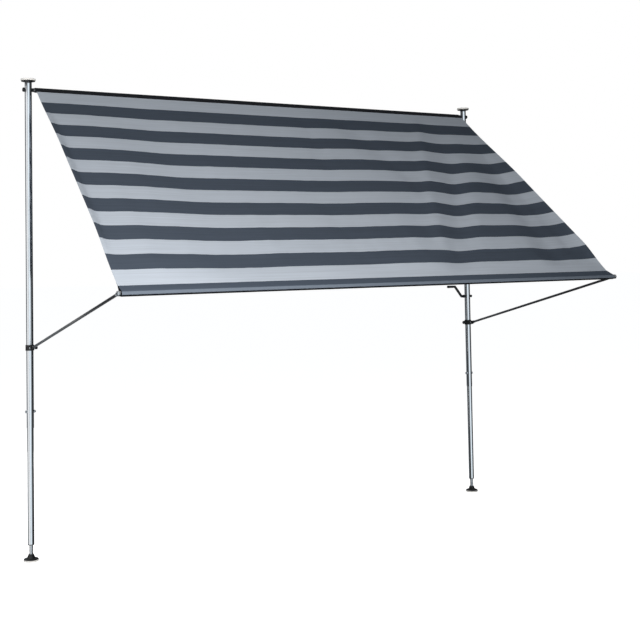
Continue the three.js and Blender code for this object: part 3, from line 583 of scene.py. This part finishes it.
def in_hem(v):
    """Hem pocket: down to the bar, round it, and back up under the cloth."""
    if v <= SLOPE:
        return on_slope(v)
    angle = min(v - SLOPE, HEM_LOOP) / POCKET_R
    side = UP * math.cos(angle) + DOWN * math.sin(angle)
    point = Vector((0, FRONT.y, FRONT.z)) + side * POCKET_R
    rest = v - SLOPE - HEM_LOOP
    if rest <= 0:
        return point
    back = DOWN * math.cos(angle) - UP * math.sin(angle)
    climb = POCKET_R * (1 + math.cos(HEM_RETURN)) - HEM_GAP
    join = climb / math.sin(HEM_RETURN)
    point = point + back * min(rest, join)
    if rest > join:
        point = point - DOWN * (rest - join)
    return point


sheet = ribbon("cloth_sheet", on_slope, 0.0, HEM_TOP, columns=230, rows=150, lifted=True)
wound = ribbon("cloth_on_roller", on_roller, -TURNS * 2 * math.pi * LEAVE_R, 0.0, columns=60, rows=90)
hem = ribbon("cloth_hem", in_hem, HEM_TOP, SLOPE + HEM_LOOP + HEM_TAIL, columns=120, rows=70)

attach(sheet, "frame")
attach(wound, "roller")
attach(hem, "front_bar_assembly")
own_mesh(sheet)
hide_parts("cloth")


# Camera, fitted to the photograph

CAMERA_AT = Vector((-1.7211, -5.9551, 1.6058))
YAW, PITCH, ROLL = (math.radians(a) for a in (30.9065, 2.4518, -1.0177))
PICTURE_PX = 640
FOCAL_PX = 1103.62
CENTRE_DOWN_PX = 208.666
SENSOR_MM = 36.0


def photo_camera():
    forward = Vector((math.sin(YAW) * math.cos(PITCH), math.cos(YAW) * math.cos(PITCH), math.sin(PITCH)))
    right = Vector((math.cos(YAW), -math.sin(YAW), 0))
    upward = right.cross(forward)
    tilted_right = right * math.cos(ROLL) + upward * math.sin(ROLL)
    tilted_up = upward * math.cos(ROLL) - right * math.sin(ROLL)
    turn = Matrix((tilted_right, tilted_up, -forward)).transposed().to_4x4()
    data = bpy.data.cameras.new("photo_camera")
    data.sensor_width = SENSOR_MM
    data.lens = SENSOR_MM * FOCAL_PX / PICTURE_PX
    data.shift_y = CENTRE_DOWN_PX / PICTURE_PX - 0.5
    camera = bpy.data.objects.new("photo_camera", data)
    camera.matrix_world = Matrix.Translation(CAMERA_AT) @ turn
    SCENE.collection.objects.link(camera)
    SCENE.camera = camera


photo_camera()


# Stage and light

def white_floor():
    """White studio floor: almost pure white to the camera, with soft shadows, and dull as a reflector."""
    material, tree, out = new_material("white_studio_floor")
    paint = add_node(tree, "ShaderNodeBsdfDiffuse", inputs={"Color": (0.8, 0.8, 0.8, 1)})
    dull = add_node(tree, "ShaderNodeBsdfDiffuse", inputs={"Color": (0.25, 0.25, 0.25, 1)})
    lift = add_node(tree, "ShaderNodeEmission", inputs={"Color": (1, 1, 1, 1), "Strength": 0.95})
    seen = add_node(tree, "ShaderNodeAddShader", inputs={0: paint.outputs[0], 1: lift.outputs[0]})
    path = add_node(tree, "ShaderNodeLightPath")
    mix = add_node(tree, "ShaderNodeMixShader", inputs={
        "Fac": path.outputs["Is Camera Ray"], 1: dull.outputs[0], 2: seen.outputs[0]})
    tree.links.new(mix.outputs[0], out.inputs[0])
    return material


FLOOR_HALF = 60
bm = bmesh.new()
bmesh.ops.create_grid(bm, x_segments=2, y_segments=2, size=FLOOR_HALF)
floor = finish_mesh("studio_floor", bm, white_floor())
floor.visible_glossy = False

# Room seen in the bright tubes, by compass angle in degrees from straight in front to the left
ROOM_TONES = (
    (-180, 0.5), (-165, 0.35), (-140, 0.03), (-60, 0.03), (-42, 0.1), (-25, 0.45), (-8, 0.95), (10, 1.2),
    (27, 1.3), (38, 0.5), (52, 0.12), (83, 0.05), (140, 0.06), (165, 0.35), (180, 0.5),
)
ROOM_TINT = (0.9, 0.98, 1.04)


def studio_world():
    """White to the camera, dim as a light, and a room with bright and dark sides in reflections."""
    world = bpy.data.worlds.new("studio_world")
    SCENE.world = world
    world.use_nodes = True
    tree = world.node_tree
    tree.nodes.clear()
    out = tree.nodes.new("ShaderNodeOutputWorld")
    coords = add_node(tree, "ShaderNodeTexCoord")
    parts = add_node(tree, "ShaderNodeSeparateXYZ", inputs={"Vector": coords.outputs["Generated"]})
    left = add_node(tree, "ShaderNodeMath", {"operation": "MULTIPLY"}, {0: parts.outputs["X"], 1: -1.0})
    ahead = add_node(tree, "ShaderNodeMath", {"operation": "MULTIPLY"}, {0: parts.outputs["Y"], 1: -1.0})
    angle = add_node(tree, "ShaderNodeMath", {"operation": "ARCTAN2"}, {
        0: left.outputs[0], 1: ahead.outputs[0]})
    share = add_node(tree, "ShaderNodeMapRange", inputs={
        "Value": angle.outputs[0], "From Min": -math.pi, "From Max": math.pi})
    ramp = add_node(tree, "ShaderNodeValToRGB", inputs={"Fac": share.outputs[0]})
    stops = ramp.color_ramp.elements
    while len(stops) < len(ROOM_TONES):
        stops.new(0.5)
    # Places come before colours, because the ramp keeps its stops in order
    for stop, (degrees, _) in zip(stops, ROOM_TONES):
        stop.position = degrees / 360 + 0.5
    for stop, (_, tone) in zip(stops, ROOM_TONES):
        stop.color = (*(tone * tint for tint in ROOM_TINT), 1)
    overhead = add_node(tree, "ShaderNodeMapRange", inputs={
        "Value": parts.outputs["Z"], "From Min": 0.4, "From Max": 0.8, "To Min": 0.0, "To Max": 0.5})
    lit = add_node(tree, "ShaderNodeMix", {"data_type": "RGBA", "blend_type": "LIGHTEN"}, {
        "Factor": 1.0, "A": ramp.outputs["Color"], "B": overhead.outputs[0]})
    room = add_node(tree, "ShaderNodeBackground", inputs={"Color": lit.outputs["Result"], "Strength": 1.0})
    seen = add_node(tree, "ShaderNodeBackground", inputs={"Color": (1, 1, 1, 1), "Strength": 1.0})
    soft = add_node(tree, "ShaderNodeBackground", inputs={
        "Color": (0.82, 0.95, 1.08, 1), "Strength": 0.06})
    path = add_node(tree, "ShaderNodeLightPath")
    mirrored = add_node(tree, "ShaderNodeMixShader", inputs={
        "Fac": path.outputs["Is Glossy Ray"], 1: soft.outputs[0], 2: room.outputs[0]})
    mix = add_node(tree, "ShaderNodeMixShader", inputs={
        "Fac": path.outputs["Is Camera Ray"], 1: mirrored.outputs[0], 2: seen.outputs[0]})
    tree.links.new(mix.outputs[0], out.inputs[0])


studio_world()


def softbox(name, at, target, size, power, tint=(1, 1, 1), mirrored=True):
    data = bpy.data.lights.new(name, "AREA")
    data.shape = "RECTANGLE"
    data.size, data.size_y = size
    data.energy = power
    data.color = tint
    lamp = bpy.data.objects.new(name, data)
    lamp.location = at
    lamp.rotation_euler = (Vector(target) - Vector(at)).to_track_quat("-Z", "Y").to_euler()
    lamp.visible_camera = False
    lamp.visible_glossy = mirrored
    SCENE.collection.objects.link(lamp)


softbox("key_softbox", (-0.84, -4.74, 2.0), (1.0, -0.9, 1.8), (1.5, 1.5), 310,
        tint=(1.04, 0.995, 0.965), mirrored=False)
softbox("left_panel", (-0.3, -0.09, 1.2), (0.0, -0.09, 1.2), (0.42, 3.0), 3.6)
softbox("back_fill", (1.5, 3.6, 1.2), (1.5, -0.6, 1.6), (3.0, 1.6), 60, mirrored=False)

SCENE.view_settings.view_transform = "Standard"
